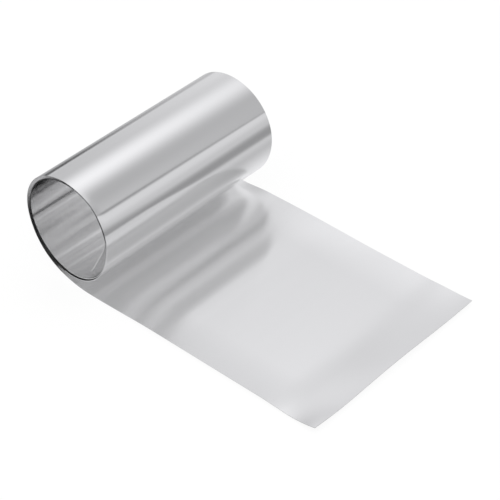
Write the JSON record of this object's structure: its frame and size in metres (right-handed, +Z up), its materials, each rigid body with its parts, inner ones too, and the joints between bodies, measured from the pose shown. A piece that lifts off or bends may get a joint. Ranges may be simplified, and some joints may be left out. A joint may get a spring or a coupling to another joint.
{
  "type": "roll of aluminium sheet",
  "caption": "Loose open coil of thin mill-finish aluminium sheet, its outer end unrolled into a long flat tail with a slightly raised free edge.",
  "frame": {"origin": "middle of the piece in plan, on the surface that it lies on", "axes": "+X along the tail, away from the coil; +Y along the axis of the coil; +Z up"},
  "size_m": [0.311, 0.2, 0.1058],
  "materials": {
    "mill_aluminium": "bright mill finish, fine rolling lines along the length of the sheet"
  },
  "bodies": {
    "root": {"aluminium_sheet": "mill_aluminium"}
  },
  "joints": []
}
